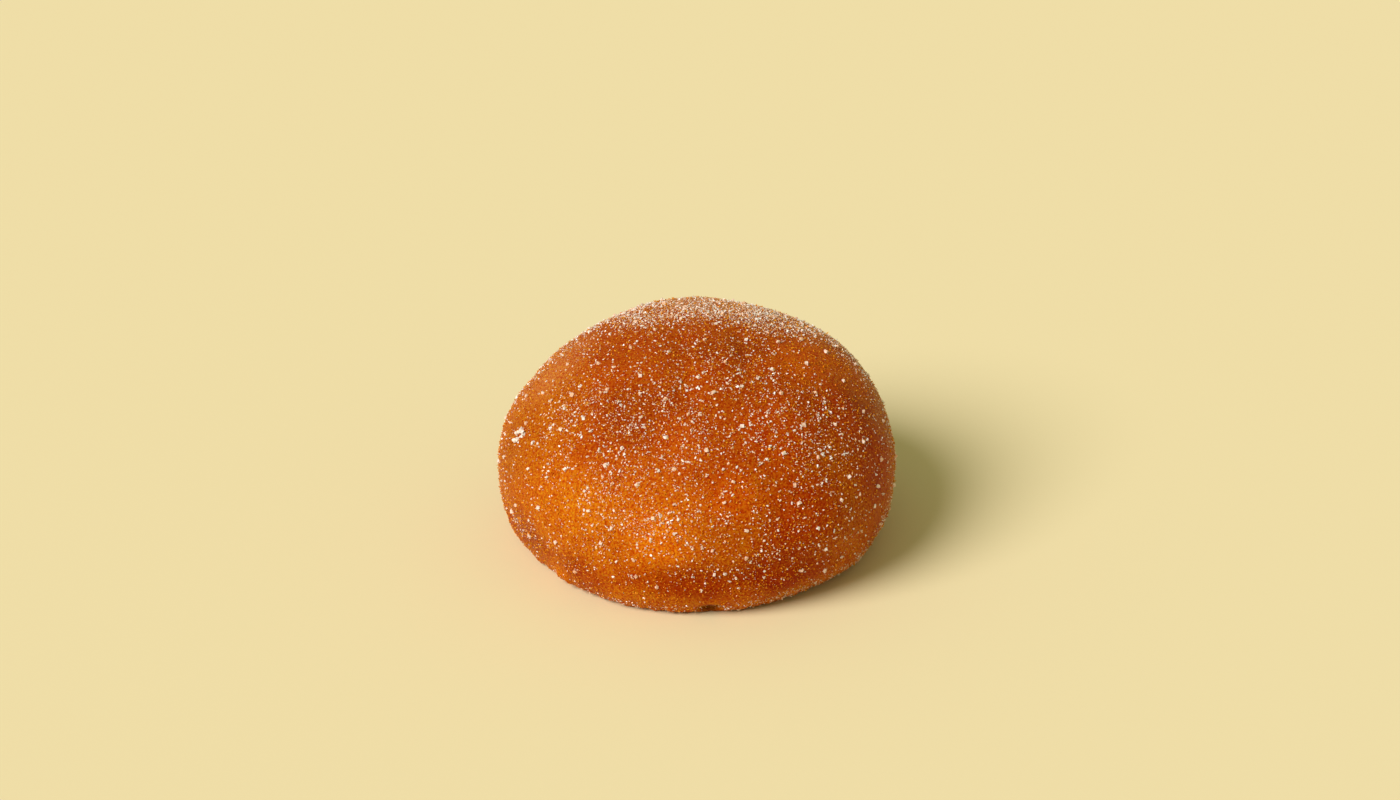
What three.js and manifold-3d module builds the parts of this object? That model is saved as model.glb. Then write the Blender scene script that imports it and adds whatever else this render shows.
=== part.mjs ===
// A jelly filled doughnut, whole and uncut: one round of yeast dough that has puffed up in hot oil,
// been turned once and rolled in coarse sugar while warm. The jam is sealed inside and nowhere in
// sight, so the dough is one solid, with its largest sugar crystals stuck fast to the crust.
//
// Millimetres, +Z up. The origin is the middle of the flat foot that the doughnut rests on, and -Y is
// its front. Azimuths are degrees round +Z from +X. A latitude says how far a place is along the
// section, from -90 at the middle of the foot, over the flank, to +90 at the crown. A pinch's width
// goes along the flank, its depth into it and its height up it, the last two from its middle.
import * as THREE from "three";
import { mergeVertices } from "three/addons/utils/BufferGeometryUtils.js";
import Module from "manifold-3d";

// ---- driving dimensions of the dough ----
const WIDTH = 84; // across the widest ring
const HEIGHT = 48.8; // from the foot to the crown
const WIDEST_HEIGHT = 16; // of the widest ring, above the foot
const FOOT_RADIUS = 35.4; // of the flat that it cooled and rests on
const CROWN_LEAN = 0.3; // how far the crown leans towards +X

// The round isn't true: shallow waves in its radius, as shares of it.
const LOBES = [
  { waves: 2, share: 0.01, azimuth: -10 },
  { waves: 3, share: 0.012, azimuth: 57 },
  { waves: 5, share: 0.007, azimuth: 31 },
];

// At the front right the flank is tucked further under the dough: the foot's radius is less there by
// this share, which fades out towards the widest ring and, the sooner the sharper, to either side.
const TUCK = { share: 0.08, azimuth: -45, sharpness: 7 };

// Hollows (rise below 0) and swells (rise above 0) of the crust, each a soft stroke from one place
// to another with this reach to either side.
const STROKES = [
  { what: "hollow in the crown's front slope", from: [-127, 37], to: [-103, 34], reach: 5.5, rise: -0.9 },
  { what: "pucker on the crown", from: [-124, 77], to: [-97, 52], reach: 2.8, rise: -0.7 },
  { what: "short pucker beside it", from: [-24, 76], to: [-58, 61], reach: 2.6, rise: -0.6 },
  { what: "dip below the short pucker", from: [-68, 51], to: [-60, 48], reach: 4, rise: -0.5 },
  { what: "crease along the front of the foot", from: [-100, -11], to: [-74, -11], reach: 3.6, rise: -0.7 },
  { what: "crease along the right of the foot", from: [-64, -9], to: [-40, -12], reach: 3.4, rise: -0.7 },
  { what: "tuck of the left flank", from: [-162, -17], to: [-140, -18], reach: 4.5, rise: -0.6 },
  { what: "swell over the front left", from: [-150, 4], to: [-112, 12], reach: 11, rise: 0.5 },
  { what: "swell over the front", from: [-90, 17], to: [-72, 20], reach: 9, rise: 0.4 },
  { what: "shoulder on the right", from: [-8, 40], to: [22, 42], reach: 12, rise: 0.4 },
  { what: "edge of that shoulder", from: [5, 27], to: [14, 41], reach: 7, rise: 0.4 },
  { what: "shoulder at the upper left", from: [152, 56], to: [164, 42], reach: 8, rise: 0.5 },
  { what: "shoulder at the back", from: [80, 36], to: [110, 40], reach: 13, rise: 0.4 },
  { what: "hollow at the back left", from: [140, 30], to: [162, 22], reach: 7, rise: -0.8 },
  { what: "crease along the back of the foot", from: [64, -10], to: [112, -12], reach: 3.8, rise: -0.6 },
  { what: "swell over the back right", from: [28, 4], to: [52, 10], reach: 10, rise: 0.4 },
];

// Long and short lumps all over the crust: sums of waves of this length and height.
const LUMPS = [
  { length: 27, height: 0.15, count: 6 },
  { length: 11, height: 0.08, count: 8 },
];
const RELIEF_FADE = 3; // height over which relief grows from nothing at the foot to its full size

// Where a fold of dough tucked under the foot opens, and where one stands out, at this height.
const FOLD_LATITUDE = -29;
const FOLD_GAPS = [
  { azimuth: -87, width: 5, depth: 1.6, height: 1.7, at: 0.6 },
  { azimuth: 63, width: 6, depth: 1.4, height: 2, at: 0.6 },
];
const FOLD_LIPS = [
  { azimuth: -138, width: 5, depth: 1.3, height: 1.1, at: 2 },
  { azimuth: 171, width: 6.5, depth: 1.2, height: 1.2, at: 2.2 },
];

// ---- driving dimensions of the sugar ----
const CRYSTAL_SIZES = [0.44, 0.76]; // shortest and longest side of the crystals that are large enough to show
const CRYSTAL_COUNT = 165;
const CRYSTAL_DRIFT = 16; // degrees that a crystal may stray along its ring from an even spread
const CRYSTAL_SUNK = 0.35; // share of a crystal that is below the crust
const SUGARED_FROM = -19; // the latitude below which the rack has rubbed the sugar off
// The two halves of the one damp lump of sugar, and how flat they lie, as a share of their spread.
const CLUMPS = [
  { azimuth: -164, latitude: 15.6, crystals: 10, spread: 2.6 },
  { azimuth: -162.6, latitude: 18.2, crystals: 10, spread: 2.4 },
];
const CLUMP_FLATNESS = 0.35;

const CRUST_DETAIL = 15; // how many times each edge of the first icosahedron is split, less one
const WELD = 1e-3; // vertices closer than this are one
const SEED = 20;

/** A repeatable stream of numbers from 0 to 1. */
function randomStream(seed) {
  let state = seed >>> 0;
  return () => {
    state = (state + 0x6d2b79f5) >>> 0;
    let mixed = Math.imul(state ^ (state >>> 15), 1 | state);
    mixed = (mixed + Math.imul(mixed ^ (mixed >>> 7), 61 | mixed)) ^ mixed;
    return ((mixed ^ (mixed >>> 14)) >>> 0) / 4294967296;
  };
}

const toRadians = THREE.MathUtils.degToRad;

// The section of a true round: the flat foot, the flank tucked under, and the dome.
const section = new THREE.Path();
section.moveTo(0, 0);
section.lineTo(FOOT_RADIUS, 0);
section.absellipse(FOOT_RADIUS, WIDEST_HEIGHT, WIDTH / 2 - FOOT_RADIUS, WIDEST_HEIGHT, -Math.PI / 2, 0);
section.absellipse(0, WIDEST_HEIGHT, WIDTH / 2, HEIGHT - WIDEST_HEIGHT, 0, Math.PI / 2);

/** The share of its radius by which the flank is tucked in at an azimuth and a height. */
function tuckAt(azimuth, height) {
  const facing = Math.max(0, Math.cos(toRadians(azimuth - TUCK.azimuth)));
  const low = Math.max(0, 1 - height / WIDEST_HEIGHT);
  return TUCK.share * facing ** TUCK.sharpness * low ** 2;
}

/** The place on the smooth dough at an azimuth and a latitude. */
function smoothPoint(azimuth, latitude) {
  const { x: radius, y: height } = section.getPoint((latitude + 90) / 180);
  const lobed = LOBES.reduce(
    (sum, lobe) => sum + lobe.share * Math.cos(lobe.waves * toRadians(azimuth - lobe.azimuth)),
    1,
  );
  const reach = radius * (lobed - tuckAt(azimuth, height));
  const angle = toRadians(azimuth);
  return new THREE.Vector3(
    reach * Math.cos(angle) + (CROWN_LEAN * height) / HEIGHT,
    reach * Math.sin(angle),
    height,
  );
}

/** The waves that LUMPS stand for, each with a heading and a phase of its own. */
function lumpWaves(random) {
  return LUMPS.flatMap(({ length, height, count }) =>
    Array.from({ length: count }, () => ({
      heading: new THREE.Vector3(random() - 0.5, random() - 0.5, random() - 0.5)
        .normalize()
        .multiplyScalar((2 * Math.PI) / length),
      phase: 2 * Math.PI * random(),
      height: height / Math.sqrt(count / 2),
    })),
  );
}

const strokeLines = STROKES.map((stroke) => ({
  ...stroke,
  line: new THREE.Line3(smoothPoint(...stroke.from), smoothPoint(...stroke.to)),
}));
const waves = lumpWaves(randomStream(SEED));

/** How far the crust stands out of the smooth dough at a place on it. */
function reliefAt(place) {
  const nearest = new THREE.Vector3();
  const stroked = strokeLines.reduce((sum, { line, reach, rise }) => {
    line.closestPointToPoint(place, true, nearest);
    return sum + rise * Math.exp(-((nearest.distanceTo(place) / reach) ** 2));
  }, 0);
  const lumpy = waves.reduce(
    (sum, { heading, phase, height }) => sum + height * Math.sin(heading.dot(place) + phase),
    0,
  );
  return (stroked + lumpy) * THREE.MathUtils.smoothstep(place.z, 0, RELIEF_FADE);
}

/** The way out of the dough at a place on it. The foot's way out is straight down. */
function outwardAt(azimuth, latitude) {
  const step = 0.5;
  const above = Math.min(latitude + step, 90);
  const along = smoothPoint(azimuth, above).sub(smoothPoint(azimuth, latitude - step));
  const round = smoothPoint(azimuth + step, latitude).sub(smoothPoint(azimuth - step, latitude));
  return round.cross(along).normalize();
}

/** The place on the crust at an azimuth and a latitude. */
function crustPoint(azimuth, latitude) {
  const place = smoothPoint(azimuth, latitude);
  return place.addScaledVector(outwardAt(azimuth, latitude), reliefAt(place));
}

/** The crust as one closed skin of even triangles: a fine ball whose every point moves onto the dough. */
function crustGeometry() {
  const skin = new THREE.IcosahedronGeometry(1, CRUST_DETAIL);
  const position = skin.getAttribute("position");
  const direction = new THREE.Vector3();
  for (let i = 0; i < position.count; i++) {
    direction.fromBufferAttribute(position, i).normalize();
    const azimuth = THREE.MathUtils.radToDeg(Math.atan2(direction.y, direction.x));
    const latitude = THREE.MathUtils.radToDeg(Math.asin(THREE.MathUtils.clamp(direction.z, -1, 1)));
    position.setXYZ(i, ...crustPoint(azimuth, latitude));
  }
  return skin;
}

/** A ball stretched to a size and turned so that its depth points along the azimuth. */
function pinch({ azimuth, width, depth, height }, centre) {
  return new THREE.IcosahedronGeometry(1, 1)
    .scale(depth, width / 2, height)
    .rotateZ(toRadians(azimuth))
    .translate(...centre);
}

/** A fold gap is a pinch of air, and a fold lip one of dough, where the flank meets the foot. */
const foldGeometry = (fold) => pinch(fold, smoothPoint(fold.azimuth, FOLD_LATITUDE).setZ(fold.at));

/** One sugar crystal, a slightly uneven block, set in the crust at a place. */
function crystalGeometry(azimuth, latitude, random, offset = new THREE.Vector3()) {
  const [shortest, longest] = CRYSTAL_SIZES;
  const sides = [0, 1, 2].map(() => THREE.MathUtils.lerp(shortest, longest, random()));
  const turn = new THREE.Euler(...[0, 1, 2].map(() => Math.PI * random()));
  const sunk = (0.5 - CRYSTAL_SUNK) * Math.min(...sides);
  const place = crustPoint(azimuth, latitude)
    .addScaledVector(outwardAt(azimuth, latitude), sunk)
    .add(offset);
  return new THREE.BoxGeometry(...sides)
    .applyQuaternion(new THREE.Quaternion().setFromEuler(turn))
    .translate(...place);
}

/** The crystals that stick together in one half of the damp lump. */
function clumpGeometries({ azimuth, latitude, crystals, spread }, random) {
  const out = outwardAt(azimuth, latitude);
  return Array.from({ length: crystals }, () => {
    const offset = new THREE.Vector3(random() - 0.5, random() - 0.5, random() - 0.5).multiplyScalar(spread);
    offset.addScaledVector(out, (CLUMP_FLATNESS - 1) * offset.dot(out));
    return crystalGeometry(azimuth, latitude, random, offset);
  });
}

/** The crystals that show, spread evenly by a spiral from the crown to the flank, and the damp lump. */
function crystalGeometries(random) {
  const goldenAngle = 180 * (3 - Math.sqrt(5));
  const lowest = Math.sin(toRadians(SUGARED_FROM));
  const scattered = Array.from({ length: CRYSTAL_COUNT }, (_, i) => {
    const level = THREE.MathUtils.lerp(1, lowest, (i + random()) / CRYSTAL_COUNT);
    const azimuth = i * goldenAngle + CRYSTAL_DRIFT * (random() - 0.5);
    return crystalGeometry(azimuth, THREE.MathUtils.radToDeg(Math.asin(level)), random);
  });
  return [...scattered, ...CLUMPS.flatMap((clump) => clumpGeometries(clump, random))];
}

const wasm = await Module();
wasm.setup();

/** A closed geometry as a manifold-3d solid. */
function solidOf(geometry) {
  geometry.deleteAttribute("normal");
  geometry.deleteAttribute("uv");
  const welded = mergeVertices(geometry, WELD);
  return new wasm.Manifold(
    new wasm.Mesh({
      numProp: 3,
      vertProperties: welded.getAttribute("position").array,
      triVerts: new Uint32Array(welded.index.array),
    }),
  );
}

/** A manifold-3d solid as a geometry with shading normals. */
function geometryOf(solid) {
  const mesh = solid.getMesh();
  const geometry = new THREE.BufferGeometry()
    .setAttribute("position", new THREE.BufferAttribute(mesh.vertProperties, 3))
    .setIndex(new THREE.BufferAttribute(mesh.triVerts, 1));
  geometry.computeVertexNormals();
  return geometry;
}

/** The whole doughnut: the crust, less its fold gaps, with its fold lips and crystals joined on. */
function doughnutGeometry() {
  let solid = solidOf(crustGeometry());
  for (const gap of FOLD_GAPS) solid = solid.subtract(solidOf(foldGeometry(gap)));
  for (const lip of FOLD_LIPS) solid = solid.add(solidOf(foldGeometry(lip)));
  for (const crystal of crystalGeometries(randomStream(SEED + 1))) solid = solid.add(solidOf(crystal));
  return geometryOf(solid);
}

const friedCrust = new THREE.MeshStandardMaterial({ color: 0xb5591a, roughness: 0.62, metalness: 0 });

const doughnut = new THREE.Mesh(doughnutGeometry(), friedCrust);
doughnut.name = "doughnut";

const part = new THREE.Group();
part.add(doughnut);

export default part;
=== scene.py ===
"""A jelly filled doughnut, whole and uncut: one domed round of fried yeast dough, rolled in coarse sugar.

The dough stands on its flat foot at the origin, with +Z up and its front towards -Y. Sizes are in
millimetres in the classes and become metres where a mesh is made. An azimuth is degrees round +Z from
+X. A latitude says how far a place is along the dough's section, from -90 at the middle of the foot,
over the flank, to +90 at the crown.
"""

import logging
import math
from collections.abc import Callable, Mapping, Sequence
from dataclasses import dataclass
from enum import Enum
from functools import partial

import bpy
from bpy.types import Material, Mesh, Node, NodeSocket, NodeTree, Object
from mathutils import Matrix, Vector


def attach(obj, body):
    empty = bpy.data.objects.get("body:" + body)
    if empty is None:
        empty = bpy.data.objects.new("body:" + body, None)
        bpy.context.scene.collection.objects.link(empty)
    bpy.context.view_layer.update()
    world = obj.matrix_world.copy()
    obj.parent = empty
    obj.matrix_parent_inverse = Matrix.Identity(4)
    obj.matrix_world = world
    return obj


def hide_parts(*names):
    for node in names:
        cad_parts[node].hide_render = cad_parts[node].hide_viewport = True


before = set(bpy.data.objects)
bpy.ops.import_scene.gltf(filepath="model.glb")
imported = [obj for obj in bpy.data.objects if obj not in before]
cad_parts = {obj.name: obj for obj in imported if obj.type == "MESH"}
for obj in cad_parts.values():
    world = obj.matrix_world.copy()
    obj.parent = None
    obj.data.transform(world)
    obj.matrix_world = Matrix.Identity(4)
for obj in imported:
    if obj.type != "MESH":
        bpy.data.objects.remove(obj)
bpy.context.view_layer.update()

log = logging.getLogger("doughnut")

MM = 0.001  # a millimetre, in metres
FULL_TURN = 2 * math.pi
DRYNESS = "dryness"  # each crystal's own: 0 where fat has soaked it, 1 where it is dry and white

Pair = tuple[float, float]
Triple = tuple[float, float, float]

# The kinds of node that come up most. The first five get their inputs in order.
MATH = "ShaderNodeMath"
VECTOR_MATH = "ShaderNodeVectorMath"
MAP_RANGE = "ShaderNodeMapRange"  # a value, the two ends of its range, and what these turn to
MIX = "ShaderNodeMix"  # a share and two colours
SEPARATE = "ShaderNodeSeparateXYZ"
NOISE = "ShaderNodeTexNoise"
BUMP = "ShaderNodeBump"
HERE = "GeometryNodeInputPosition"
CUBE = "GeometryNodeMeshCube"
SET_POSITION = "GeometryNodeSetPosition"
INSTANCES = "GeometryNodeInstanceOnPoints"
ROTATION = "FunctionNodeEulerToRotation"
TRANSFORM = "GeometryNodeTransform"
REALIZE = "GeometryNodeRealizeInstances"
RANDOM = "FunctionNodeRandomValue"

# Settings that nodes share.
SMOOTH = {"interpolation_type": "SMOOTHSTEP"}
VECTORS = {"data_type": "FLOAT_VECTOR"}
COLOURS = {"data_type": "RGBA"}


class Slot(Enum):
    """The finishes that the part's record names."""

    CRUST = "fried_crust"
    SUGAR = "sugar"


# ---- small tools ----


def linear(hex_colour: str) -> tuple[float, float, float, float]:
    """Turns an sRGB hex colour to linear light, with the sRGB standard's own numbers.

    Args:
        hex_colour: The colour as "#rrggbb".

    Returns:
        Red, green, blue and an alpha of 1.
    """
    channels = [int(hex_colour[i : i + 2], 16) / 255 for i in (1, 3, 5)]
    light = [c / 12.92 if c <= 0.04045 else ((c + 0.055) / 1.055) ** 2.4 for c in channels]
    return (light[0], light[1], light[2], 1.0)


def random_stream(seed: int) -> Callable[[], float]:
    """Makes a repeatable stream of numbers from 0 to 1, with the numbers of the mulberry32 method.

    Args:
        seed: The stream's start.

    Returns:
        A function whose every call gives the stream's next number.
    """
    full = 0xFFFFFFFF
    state = seed & full

    def step() -> float:
        """Gives the stream's next number.

        Returns:
            A number from 0 to 1.
        """
        nonlocal state
        state = (state + 0x6D2B79F5) & full
        mixed = ((state ^ (state >> 15)) * (1 | state)) & full
        mixed = ((mixed + (((mixed ^ (mixed >> 7)) * (61 | mixed)) & full)) & full) ^ mixed
        return ((mixed ^ (mixed >> 14)) & full) / (full + 1)

    return step


def around_zero(random: Callable[[], float]) -> Vector:
    """Draws a vector from the stream, with parts from -0.5 to 0.5."""
    return Vector([random() - 0.5 for _ in range(3)])


def add_node(
    tree: NodeTree,
    kind: str,
    inputs: Mapping[str, object] | Sequence[object] = (),
    operation: str = "",
    **settings: object,
) -> Node:
    """Adds a node to a tree, with its settings and links.

    Args:
        tree: The tree that gets the node.
        kind: The node's class name.
        inputs: What its inputs hold, by name or in the order of those in use. Each is a value, an output
            to link from, or a node to link from by its first output in use.
        operation: The operation of a Math or Vector Math node.
        **settings: The node's own properties.

    Returns:
        The node.
    """
    node = tree.nodes.new(kind)
    if operation:
        settings["operation"] = operation
    for name, value in settings.items():
        setattr(node, name, value)
    if isinstance(inputs, Mapping):
        fed = [(node.inputs[name], value) for name, value in inputs.items()]
    else:
        fed = zip([socket for socket in node.inputs if socket.enabled], inputs)
    for socket, value in fed:
        if isinstance(value, Node):
            value = next(output for output in value.outputs if output.enabled)
        if isinstance(value, NodeSocket):
            tree.links.new(value, socket)
        else:
            socket.default_value = value
    return node


def new_material(name: str) -> tuple[Material, Callable[..., Node], Node]:
    """Starts a material whose patterns read Object coordinates in millimetres.

    Args:
        name: The material's name.

    Returns:
        The material, add_node for its tree, and the node that gives the place.
    """
    made = bpy.data.materials.new(name)
    made.use_nodes = True
    made.node_tree.nodes.clear()
    add = partial(add_node, made.node_tree)
    seen = add("ShaderNodeTexCoord").outputs["Object"]
    return made, add, add("ShaderNodeMapping", {"Vector": seen, "Scale": (1 / MM,) * 3})


class ShapeTree:
    """A geometry tree that is grown node by node and then run once.

    Attributes:
        values: The named inputs with their values.
        tree: The tree.
        add: add_node for this tree.
        given: The named inputs, to link from.
    """

    def __init__(self, name: str, values: Mapping[str, object]) -> None:
        """Starts the tree.

        Args:
            name: The tree's name.
            values: Its named inputs with their values; None stands for the mesh that it starts from.
        """
        kinds = {int: "Int", float: "Float", tuple: "Vector", Object: "Object", Material: "Material"}
        self.values = values
        self.tree = bpy.data.node_groups.new(name, "GeometryNodeTree")
        for label, value in values.items():
            kind = "NodeSocket" + kinds.get(type(value), "Geometry")
            socket = self.tree.interface.new_socket(label, in_out="INPUT", socket_type=kind)
            if isinstance(value, int | float | tuple):
                socket.default_value = value
        self.add = partial(add_node, self.tree)
        self.given = self.add("NodeGroupInput").outputs

    def end(self, label: str, kind: str, source: Node) -> NodeTree:
        """Gives the tree its one output.

        Args:
            label: The output's name.
            kind: The output's type, such as "Geometry" or "Float".
            source: The node that feeds it.

        Returns:
            The finished tree.
        """
        self.tree.interface.new_socket(label, in_out="OUTPUT", socket_type=f"NodeSocket{kind}")
        self.add("NodeGroupOutput", {label: source})
        return self.tree

    def run(self, name: str, shape: Node, finish: str, base: Mesh | None = None) -> Object:
        """Ends the tree with its shape dressed and in metres, and keeps its result as a plain mesh.

        Args:
            name: The new object's name.
            shape: The node that gives the shape, in millimetres.
            finish: The input that holds its material.
            base: The mesh that the tree starts from, if any.

        Returns:
            The object, at the origin, with no modifier.
        """
        sized = self.add(TRANSFORM, {"Geometry": shape, "Scale": (MM, MM, MM)})
        whole = self.add(REALIZE, {"Geometry": sized})
        dressed = self.add("GeometryNodeSetMaterial", {"Geometry": whole, "Material": self.given[finish]})
        piece = bpy.data.objects.new(name, base or bpy.data.meshes.new(f"{name}_seed"))
        modifier = piece.modifiers.new("shape", "NODES")
        modifier.node_group = self.end("Geometry", "Geometry", dressed)
        for item in self.tree.interface.items_tree:
            if item.in_out == "INPUT" and self.values[item.name] is not None:
                modifier[item.identifier] = self.values[item.name]
        bpy.context.scene.collection.objects.link(piece)
        graph = bpy.context.evaluated_depsgraph_get()
        made = bpy.data.meshes.new_from_object(piece.evaluated_get(graph), depsgraph=graph)
        piece.modifiers.remove(modifier)
        piece.data = made
        made.name = name
        return piece

    def summed(self, terms: Sequence[Node]) -> Node:
        """Adds up what several nodes give.

        Args:
            terms: The nodes.

        Returns:
            The node that gives the sum.
        """
        total = terms[0]
        for term in terms[1:]:
            total = self.add(MATH, (total, term), "ADD")
        return total

    def uneven(self, size: str, height: str, detail: float = 2.0, reach: float = 0.25) -> Node:
        """Adds a cloudy pattern, which rises as far above 0 as it falls below.

        Args:
            size: The input that holds the size of its clouds.
            height: The input that says how far it rises.
            detail: How much finer detail the clouds have.
            reach: How far the noise is from its mean where the pattern is at its full height.

        Returns:
            The node that gives the pattern at each place.
        """
        scale = self.add(MATH, (1.0, self.given[size]), "DIVIDE")
        noise = self.add(NOISE, {"Vector": self.add(HERE), "Scale": scale, "Detail": detail})
        even = self.add(MAP_RANGE, (noise, 0.5 - reach, 0.5 + reach, -1.0, 1.0))
        return self.add(MATH, (even, self.given[height]), "MULTIPLY")

    def crust_mesh(self) -> Node:
        """Reads the mesh of the object in the input Crust, in millimetres."""
        read = self.add("GeometryNodeObjectInfo", [self.given["Crust"]], transform_space="ORIGINAL")
        return self.add(TRANSFORM, {"Geometry": read.outputs["Geometry"], "Scale": (1 / MM,) * 3})

    def lift_out(self, way: Node | NodeSocket, short: Node) -> Node:
        """Works out a crystal's step out of the crust, where a share of it, the input Sunk, stays in.

        Args:
            way: The way out of the crust.
            short: The crystal's short side.

        Returns:
            The node that gives the step of the crystal's middle.
        """
        share = self.add(MATH, (0.5, self.given["Sunk"]), "SUBTRACT")
        lift = self.add(MATH, (short, share), "MULTIPLY")
        return self.add(VECTOR_MATH, (way, lift), "SCALE")


def hand_over(piece: Object) -> None:
    """Hands a finished piece to the frame and reports it.

    Args:
        piece: The piece, at the origin.
    """
    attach(piece, "root")
    piece.data.calc_loop_triangles()
    log.info("%s: %d triangles", piece.name, len(piece.data.loop_triangles))


# ---- finishes ----


@dataclass(frozen=True)
class Zone:
    """A soft round zone of the crust in another colour: where it fried to another, or where shade, haze or
    light is painted on it.
    """

    what: str
    centre: Triple
    full_within: float
    gone_beyond: float
    colour: str
    share: float


@dataclass(frozen=True)
class Band:
    """A height at which the crust's colour turns: it starts at one height and is full at the other."""

    what: str
    starts: float
    full: float
    colour: str


@dataclass(frozen=True)
class FriedCrust:
    """Crust of sweet yeast dough, deep fried.

    Hot oil browns it by height: most on the crown and round the foot, which lay in the oil, less on the
    belt between. It is thin, a little translucent and oily, with pores and small blisters.
    """

    name: str = "deep_fried_yeast_dough"
    belt: str = "#b05309"
    # the dark colour painted into the pores as their shade
    pore_shade: str = "#722203"
    dust: str = "#e8b48c"  # sugar dust too fine for the mesh: it shows as a haze where the crust turns away
    oil: str = "#ff9840"  # what the film of fat tints its reflections with
    browner: Triple = (0.74, 0.33, 0.2)  # what browning multiplies the colour by
    yellower: Triple = (1.12, 1.7, 1.4)  # and what its lack does
    wander: float = 6.0  # how far the edges of the bands go up and down
    bands: tuple[Band, ...] = (
        Band("browned cap of the crown", 29, 35, "#9e3f07"),
        Band("browned ring above the foot", 14, 10, "#a03b04"),
        Band("paler rim of the foot", 8, 3, "#bd630a"),
    )
    zones: tuple[Zone, ...] = (
        Zone("golden bulge at the front left", (-24, -30, 16), 4, 18, "#be670b", 0.9),
        Zone("golden bulge at the front", (-8, -40, 19), 2, 11, "#cc680a", 0.9),
        Zone("golden front of the belt", (6, -37, 28), 2, 9, "#b84907", 0.7),
        Zone("golden middle of the front", (-4, -32, 34), 2, 9, "#b65009", 0.35),
        Zone("golden bulge at the back", (18, 34, 16), 3, 20, "#be640a", 0.8),
        Zone("dull gold of the left flank", (-33, -12, 32), 6, 18, "#a85508", 0.85),
        Zone("darker limb of the left flank", (-41, -10, 24), 3, 11, "#9f4e08", 0.7),
        Zone("golden shoulder on the right", (21, -6, 43), 2, 13, "#c65608", 0.7),
        # Painted limb haze: a paler golden band where the right shoulder turns away at the edge.
        Zone("golden limb of the right shoulder", (32, -1, 38), 3, 11, "#c8640a", 0.7),
        Zone("red-brown right of the crown", (16, -28, 38), 4, 12, "#ae4006", 0.6),
        Zone("red-brown of the right shoulder", (29, -16, 36), 2, 9, "#bc4006", 0.5),
        # Painted shade: the hollow and the two creases of the crown are darkened as if shade fell in them.
        Zone("browned hollow of the crown", (-14, -23, 40), 3, 11, "#802e03", 0.6),
        Zone("browned crease of the crown", (0, -10, 48), 1.5, 6, "#802e03", 0.5),
        Zone("browned short crease beside it", (10, -8, 47), 1.5, 6, "#802e03", 0.5),
        Zone("red-brown right of the belt", (20, -33, 23), 4, 14, "#a13304", 0.8),
        Zone("golden dapple right of the belt", (19, -36, 21), 2, 7, "#b74508", 0.5),
        Zone("brown of the right flank", (36, -18, 26), 4, 13, "#a83b05", 0.8),
        Zone("browned front right of the foot", (16, -38, 12), 3, 11, "#982a03", 0.7),
        Zone("browned front of the foot", (0, -40, 10), 1.5, 8, "#8c2b03", 0.65),
        Zone("browned front left of the foot", (-24, -31, 6.5), 3, 9.5, "#963204", 0.65),
        Zone("golden rim at the front right of the foot", (9, -38, 2), 4, 8.5, "#c86a0c", 0.65),
        Zone("browned dapple at the front of the foot", (-5.5, -40, 10.5), 1, 5, "#862803", 0.5),
        # The tuck of the left flank: sugar dust, with painted shade in the tuck and painted haze along its
        # limb.
        Zone("dusty brown tuck of the left flank", (-36.5, -18, 8.5), 3, 11, "#96461c", 0.6),
        Zone("golden lower right of the foot", (31, -27, 8), 2, 10, "#c4680a", 0.7),
        # These four zones are partly real sugar dust and partly painted haze along the limb, where the
        # crust turns away from the camera; on the right shoulder the zone also paints light.
        Zone("sugar dust on the crest of the crown", (2, 19, 45), 7, 18, "#b4744a", 0.55),
        Zone("sugar dust on the upper left", (-31, 2, 38), 4, 14, "#c67a42", 0.42),
        Zone("sugar dust on the right shoulder", (25, 10, 42), 2, 14, "#bc6e38", 0.55),
        Zone("sugar dust on the right flank", (39, 1, 29), 2, 12, "#b06c3c", 0.5),
        Zone("browned middle of the underside", (0, 0, 0), 20, 34, "#9e3f07", 0.85),
        # Painted shade: the insides of the two fold gaps are painted near black.
        Zone("burnt inside of the fold gap", (2, -38, 1), 1.6, 3.4, "#441703", 0.9),
        Zone("burnt inside of the back fold gap", (17, 34, 1), 1.6, 3.6, "#441703", 0.9),
    )

    def material(self) -> Material:
        """Builds the material.

        Returns:
            The material, whose patterns read Object coordinates.
        """
        made, add, place = new_material(self.name)

        # The bands' edges go up and down over patches of 18 mm. The zones lie over the bands.
        patches = add(NOISE, {"Vector": place, "Scale": 1 / 18, "Detail": 3.0})
        shift = add(MAP_RANGE, (patches, 0.0, 1.0, -self.wander, self.wander))
        level = add(MATH, (add(SEPARATE, [place]).outputs["Z"], shift), "ADD")
        turns = [(band.what, level, band.starts, band.full, 1.0, band.colour) for band in self.bands]
        for zone in self.zones:
            away = add(VECTOR_MATH, (place, zone.centre), "DISTANCE")
            turns.append((zone.what, away, zone.gone_beyond, zone.full_within, zone.share, zone.colour))
        colour = linear(self.belt)
        for what, measure, none_at, full_at, most, other in turns:
            share = add(MAP_RANGE, (measure, none_at, full_at, 0.0, most), **SMOOTH, label=what)
            colour = add(MIX, (share, colour, linear(other)), **COLOURS)

        # Mottling of the fried skin: brown blotches of 7 mm, and a grain of 0.45 mm from red-brown to gold.
        blotches = add(NOISE, {"Vector": place, "Scale": 1 / 7, "Detail": 5.0})
        speckle = add(NOISE, {"Vector": place, "Scale": 1 / 0.45, "Detail": 4.0})
        for noise, none_at, full_at, most, tint in (
            (blotches, 0.50, 0.75, 0.6, self.browner),
            (speckle, 0.53, 0.35, 1.0, self.browner),
            (speckle, 0.50, 0.70, 1.0, self.yellower),
        ):
            share = add(MAP_RANGE, (noise, none_at, full_at, 0.0, most))
            colour = add(MIX, (share, colour, (*tint, 1.0)), **COLOURS, blend_type="MULTIPLY")

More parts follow.
